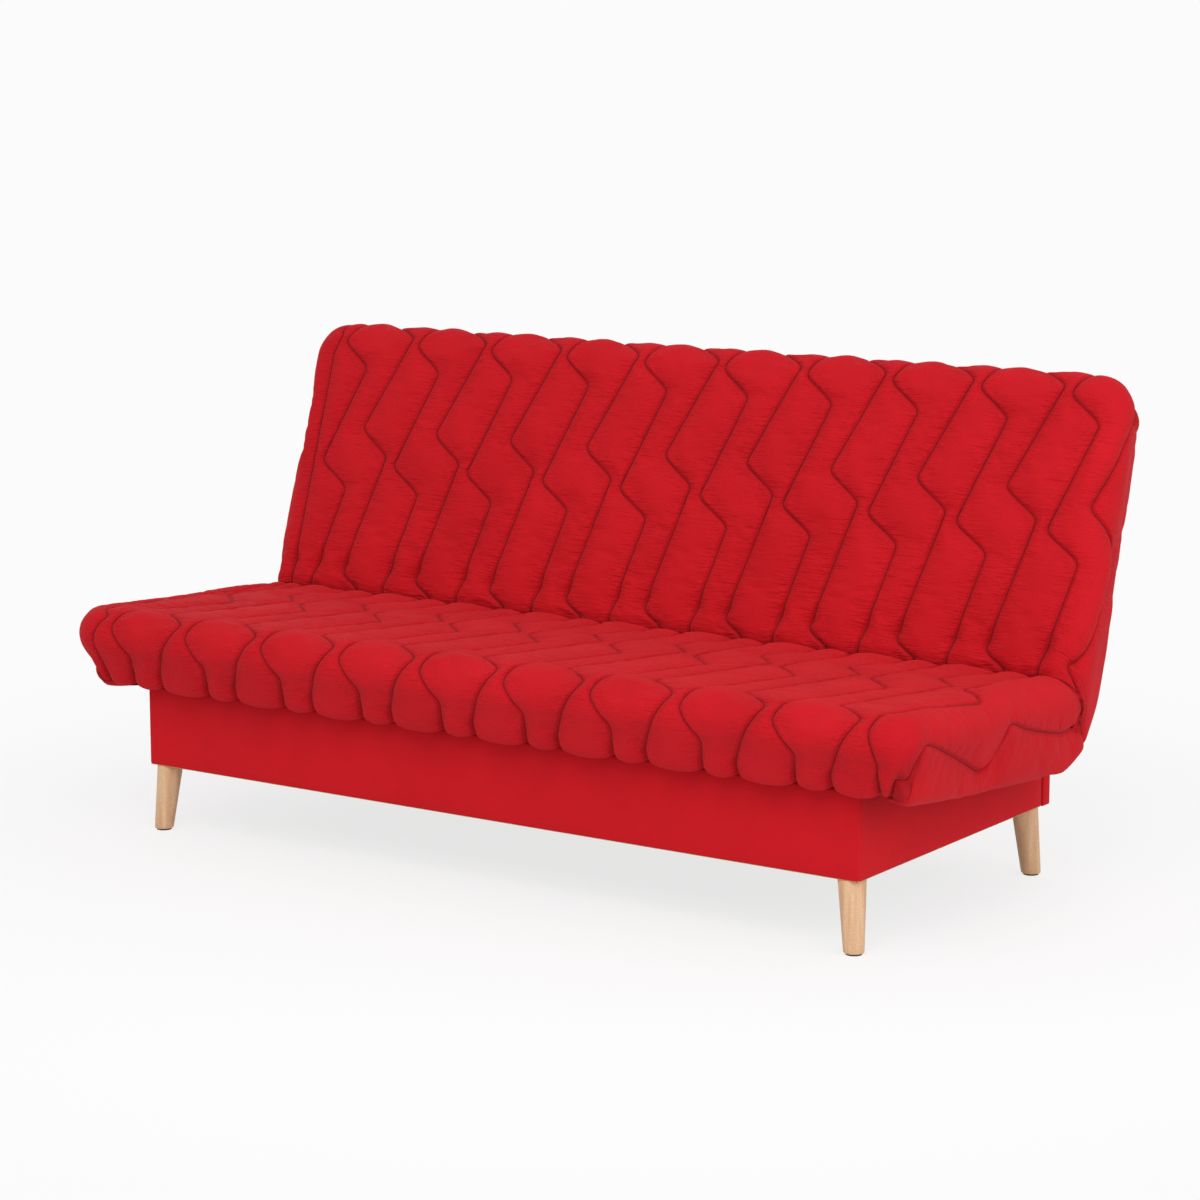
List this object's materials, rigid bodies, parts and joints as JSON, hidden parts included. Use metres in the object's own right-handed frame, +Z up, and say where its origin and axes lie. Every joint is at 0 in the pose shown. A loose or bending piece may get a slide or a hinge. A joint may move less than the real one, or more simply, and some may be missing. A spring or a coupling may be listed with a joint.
{
  "type": "click clack sofa bed",
  "caption": "Fold-flat sofa bed: quilted mattress halves on slatted steel frames, ratchet hinges and links, lifting over a fabric storage base on splayed wooden legs.",
  "frame": {"origin": "on the floor, under the middle of the whole object's box at rest (sofa position)", "axes": "+X along the sofa's length, to the right of someone who faces it; +Y from its front to its rear; +Z up"},
  "size_m": [1.93, 0.9412, 0.965],
  "materials": {
    "quilted_cover": "matte",
    "base_fabric": "matte",
    "foam": "matte",
    "leg_beech": "satin",
    "slat_beech": "satin",
    "panel_board": "matte",
    "floor_board": "matte",
    "softwood": "matte",
    "frame_steel": "satin",
    "zinc_steel": "satin",
    "bright_pin": "satin",
    "black_plastic": "matte",
    "buffer_rubber": "matte"
  },
  "bodies": {
    "base": {"front_panel": "panel_board", "side_panel_left": "panel_board", "side_panel_right": "panel_board", "rear_panel": "panel_board", "front_fabric": "base_fabric", "side_fabrics": "base_fabric", "rear_fabric": "base_fabric", "storage_floor": "floor_board", "floor_battens": "softwood", "corner_blocks": "softwood", "chassis_ledges": "softwood", "leg_front_left": "leg_beech", "leg_front_right": "leg_beech", "leg_rear_left": "leg_beech", "leg_rear_right": "leg_beech", "leg_plates": "zinc_steel", "foot_glides": "black_plastic", "hinge_leaf_box": "zinc_steel", "hinge_pin_lift": "bright_pin"},
    "chassis": {"chassis_front_tube": "frame_steel", "chassis_rear_tube": "frame_steel", "chassis_side_left": "frame_steel", "chassis_side_right": "frame_steel", "pivot_bracket_left": "zinc_steel", "pivot_bracket_right": "zinc_steel", "rest_posts": "frame_steel", "rest_buffers": "buffer_rubber", "hinge_leaf_chassis": "zinc_steel"},
    "rear_links": {"rear_link_left": "zinc_steel", "rear_link_right": "zinc_steel", "rear_link_bar": "zinc_steel"},
    "front_links": {"front_link_left": "zinc_steel", "front_link_right": "zinc_steel"},
    "seat": {"seat_outer_rail": "frame_steel", "seat_fold_rail": "frame_steel", "seat_side_rails": "frame_steel", "seat_inner_rail_left": "frame_steel", "seat_inner_rail_right": "frame_steel", "seat_slats": "slat_beech", "seat_slat_holders": "black_plastic", "seat_foam": "foam", "seat_cover": "quilted_cover", "ratchet_plate_left": "zinc_steel", "ratchet_plate_right": "zinc_steel", "front_link_pins": "bright_pin"},
    "backrest": {"back_outer_rail": "frame_steel", "back_fold_rail": "frame_steel", "back_side_rails": "frame_steel", "back_inner_rail_left": "frame_steel", "back_inner_rail_right": "frame_steel", "back_slats": "slat_beech", "back_slat_holders": "black_plastic", "back_foam": "foam", "back_cover": "quilted_cover", "pawl_plate_left": "zinc_steel", "pawl_plate_right": "zinc_steel", "pawls": "zinc_steel"}
  },
  "joints": [
    {"name": "storage_lift", "type": "hinge", "parent": "base", "child": "chassis", "pos_m": [0, 0.31302, 0.2403], "axis": [-1, 0, 0], "range_deg": [0, 35]},
    {"name": "seat_swing", "type": "hinge", "parent": "chassis", "child": "rear_links", "pos_m": [0, 0.12001, 0.17978], "axis": [1, 0, 0], "range_deg": [0, 105.3]},
    {"name": "front_link_swing", "type": "hinge", "parent": "chassis", "child": "front_links", "pos_m": [0, -0.20279, 0.20281], "axis": [1, 0, 0], "range_deg": [0, 105.23]},
    {"name": "seat_turn", "type": "hinge", "parent": "rear_links", "child": "seat", "pos_m": [0, 0.26832, 0.269], "axis": [1, 0, 0], "range_deg": [-102.3, 0]},
    {"name": "back_fold", "type": "hinge", "parent": "seat", "child": "backrest", "pos_m": [0, 0.26832, 0.269], "axis": [1, 0, 0], "range_deg": [-74.7, 0]}
  ],
  "couplings": [
    {"joint": "front_link_swing", "follows": "seat_swing", "ratio": 0.99936},
    {"joint": "seat_turn", "follows": "seat_swing", "ratio": -0.97151},
    {"joint": "back_fold", "follows": "seat_swing", "ratio": -0.70939}
  ]
}
